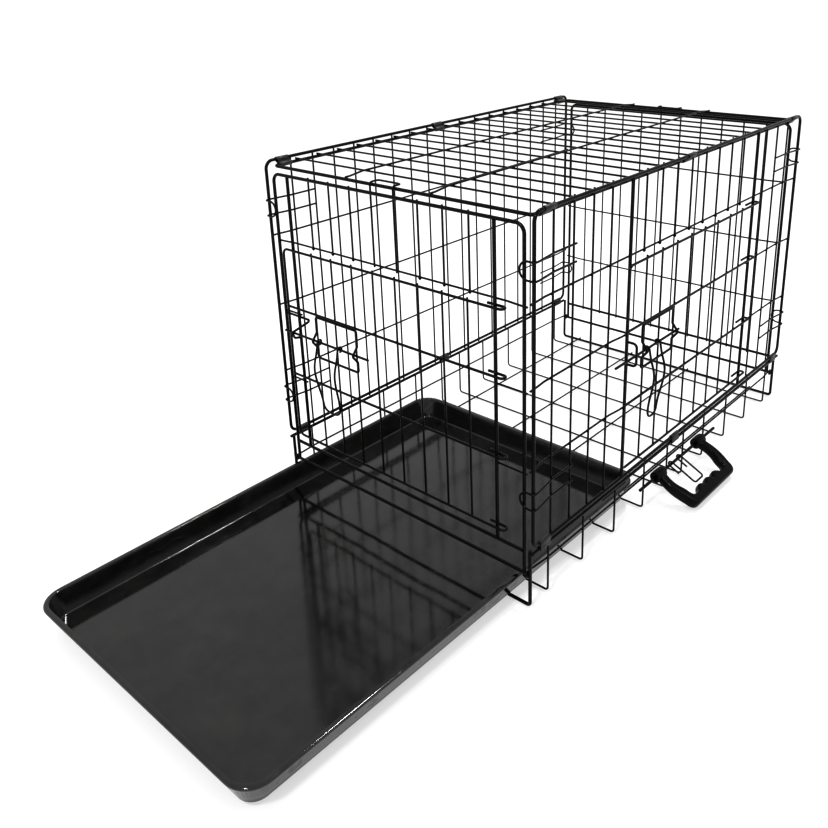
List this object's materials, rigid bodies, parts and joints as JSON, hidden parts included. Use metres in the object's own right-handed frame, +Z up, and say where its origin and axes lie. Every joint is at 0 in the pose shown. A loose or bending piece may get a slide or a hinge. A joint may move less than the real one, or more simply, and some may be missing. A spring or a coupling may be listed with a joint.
{
  "type": "folding wire pet crate",
  "caption": "Folding wire pet crate with hinged front and side doors on slide bolts, fold-in end panels, a pull-out plastic tray and a swinging carry handle.",
  "frame": {"origin": "middle of the crate's footprint on the ground, without the pulled-out tray", "axes": "+X from the front door's panel to the rear panel, -Y towards the side with the door and carry handle, +Z up"},
  "size_m": [1.2011, 0.5492, 0.5344],
  "materials": {
    "wire": "gloss black powder coat",
    "clip": "satin black painted sheet",
    "tray": "gloss black",
    "handle": "satin black"
  },
  "bodies": {
    "crate": {"base_end_wires": "wire", "base_cross_wires": "wire", "base_floor_wires": "wire", "base_hinge_rails": "wire", "end_hinge_rails": "wire", "handle_rod": "wire", "right_side_frame": "wire", "side_doorway_posts": "wire", "right_side_uprights": "wire", "right_side_rails": "wire", "right_corner_hooks": "wire", "side_door_catch": "wire", "left_side_frame": "wire", "left_side_uprights": "wire", "left_side_rails": "wire", "left_corner_hooks": "wire", "roof_frame": "wire", "roof_cross_wires": "wire", "roof_long_wires": "wire", "roof_right_clips": "clip", "roof_left_clips": "clip", "base_right_clips": "clip", "base_left_clips": "clip"},
    "front_panel": {"front_frame": "wire", "front_bottom_wire": "wire", "front_hinge_pin": "wire", "front_doorway_posts": "wire", "front_uprights": "wire", "front_rails": "wire", "front_roof_hook": "wire", "front_door_catch": "wire"},
    "front_door": {"front_door_edge": "wire", "front_door_rails": "wire", "front_door_uprights": "wire", "front_bolt_guide": "wire"},
    "front_bolt_body": {"front_bolt": "wire"},
    "front_pull_body": {"front_bolt_pull": "wire"},
    "side_door": {"side_door_edge": "wire", "side_door_rails": "wire", "side_door_uprights": "wire", "side_bolt_guide": "wire"},
    "side_bolt_body": {"side_bolt": "wire"},
    "side_pull_body": {"side_bolt_pull": "wire"},
    "rear_panel": {"rear_frame": "wire", "rear_bottom_wire": "wire", "rear_hinge_pin": "wire", "rear_uprights": "wire", "rear_rails": "wire", "rear_roof_hook": "wire"},
    "tray_body": {"tray": "tray"},
    "carry_handle_body": {"carry_handle": "handle"},
    "fold_clasp_body": {"fold_clasp": "wire"}
  },
  "joints": [
    {"name": "tray_slide", "type": "slide", "parent": "crate", "child": "tray_body", "axis": [1, 0, 0], "range_m": [-0.25, 0.447]},
    {"name": "front_panel_fold", "type": "hinge", "parent": "crate", "child": "front_panel", "pos_m": [-0.38, 0, 0.0485], "axis": [0, 1, 0], "range_deg": [0, 87], "deforming": ["front_roof_hook"]},
    {"name": "rear_panel_fold", "type": "hinge", "parent": "crate", "child": "rear_panel", "pos_m": [0.38, 0, 0.0485], "axis": [0, -1, 0], "range_deg": [0, 78], "deforming": ["rear_roof_hook"]},
    {"name": "front_door_swing", "type": "hinge", "parent": "front_panel", "child": "front_door", "pos_m": [-0.38, -0.181, 0.25], "axis": [0, 0, -1], "range_deg": [-150, 0]},
    {"name": "front_bolt_slide", "type": "slide", "parent": "front_door", "child": "front_bolt_body", "axis": [0, 1, 0], "range_m": [-0.028, 0]},
    {"name": "front_pull_lift", "type": "hinge", "parent": "front_bolt_body", "child": "front_pull_body", "pos_m": [-0.389, 0.119, 0.27635], "axis": [0, -1, 0], "range_deg": [-90, 0]},
    {"name": "side_door_swing", "type": "hinge", "parent": "crate", "child": "side_door", "pos_m": [0.21167, -0.239, 0.25], "axis": [0, 0, -1], "range_deg": [-150, 0]},
    {"name": "side_bolt_slide", "type": "slide", "parent": "side_door", "child": "side_bolt_body", "axis": [-1, 0, 0], "range_m": [-0.044, 0]},
    {"name": "side_pull_lift", "type": "hinge", "parent": "side_bolt_body", "child": "side_pull_body", "pos_m": [-0.11433, -0.248, 0.28085], "axis": [1, 0, 0], "range_deg": [-90, 0]},
    {"name": "carry_handle_swing", "type": "hinge", "parent": "crate", "child": "carry_handle_body", "pos_m": [0.008, -0.239, 0.042], "axis": [-1, 0, 0], "range_deg": [0, 95]},
    {"name": "fold_clasp_swing", "type": "hinge", "parent": "crate", "child": "fold_clasp_body", "pos_m": [-0.0045, -0.239, 0.042], "axis": [-1, 0, 0], "range_deg": [0, 95]}
  ]
}
